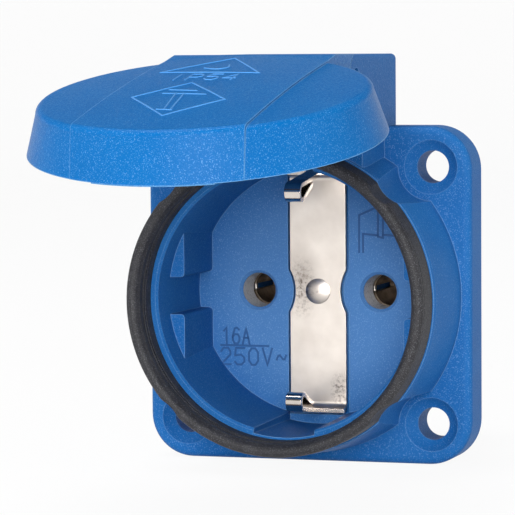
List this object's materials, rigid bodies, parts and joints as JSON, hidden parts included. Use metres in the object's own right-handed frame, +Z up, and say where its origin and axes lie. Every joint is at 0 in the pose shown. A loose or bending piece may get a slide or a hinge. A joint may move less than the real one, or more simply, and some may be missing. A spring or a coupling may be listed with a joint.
{
  "type": "industrial panel socket",
  "caption": "Earthed panel-mounting power socket with square flange, round sealed collar and hinged splash lid.",
  "frame": {"origin": "on the socket axis, in the plane of the flange's back face", "axes": "+X right, +Z up, the front faces -Y and the plug enters along +Y"},
  "size_m": [0.05, 0.1065, 0.0607],
  "materials": {
    "blue_housing": "fine satin grain, moulded plastic",
    "blue_lid": "smooth satin moulded plastic",
    "black_rubber": "matt, finely grained",
    "nickel": "bright nickel plating, lightly speckled",
    "brass": "plain rolled brass",
    "steel": "zinc plated",
    "grey_plastic": "matt thermoset"
  },
  "bodies": {
    "socket": {"housing": "blue_housing", "seal_ring": "black_rubber", "panel_gasket": "black_rubber", "hinge_pin": "steel", "earth_strip": "nickel", "earth_rivet": "nickel", "earth_bar": "nickel", "earth_terminal": "brass", "earth_terminal_screw": "steel", "pin_guides": "grey_plastic", "left_contact": "brass", "left_contact_spring": "steel", "left_terminal": "brass", "left_terminal_screw": "steel", "right_contact": "brass", "right_contact_spring": "steel", "right_terminal": "brass", "right_terminal_screw": "steel", "terminal_carrier": "grey_plastic", "carrier_screws": "steel"},
    "lid": {"lid": "blue_lid"}
  },
  "joints": [
    {"name": "lid_hinge", "type": "hinge", "parent": "socket", "child": "lid", "pos_m": [0, -0.021, 0.0321], "axis": [1, 0, 0], "range_deg": [-22, 78.2]}
  ]
}
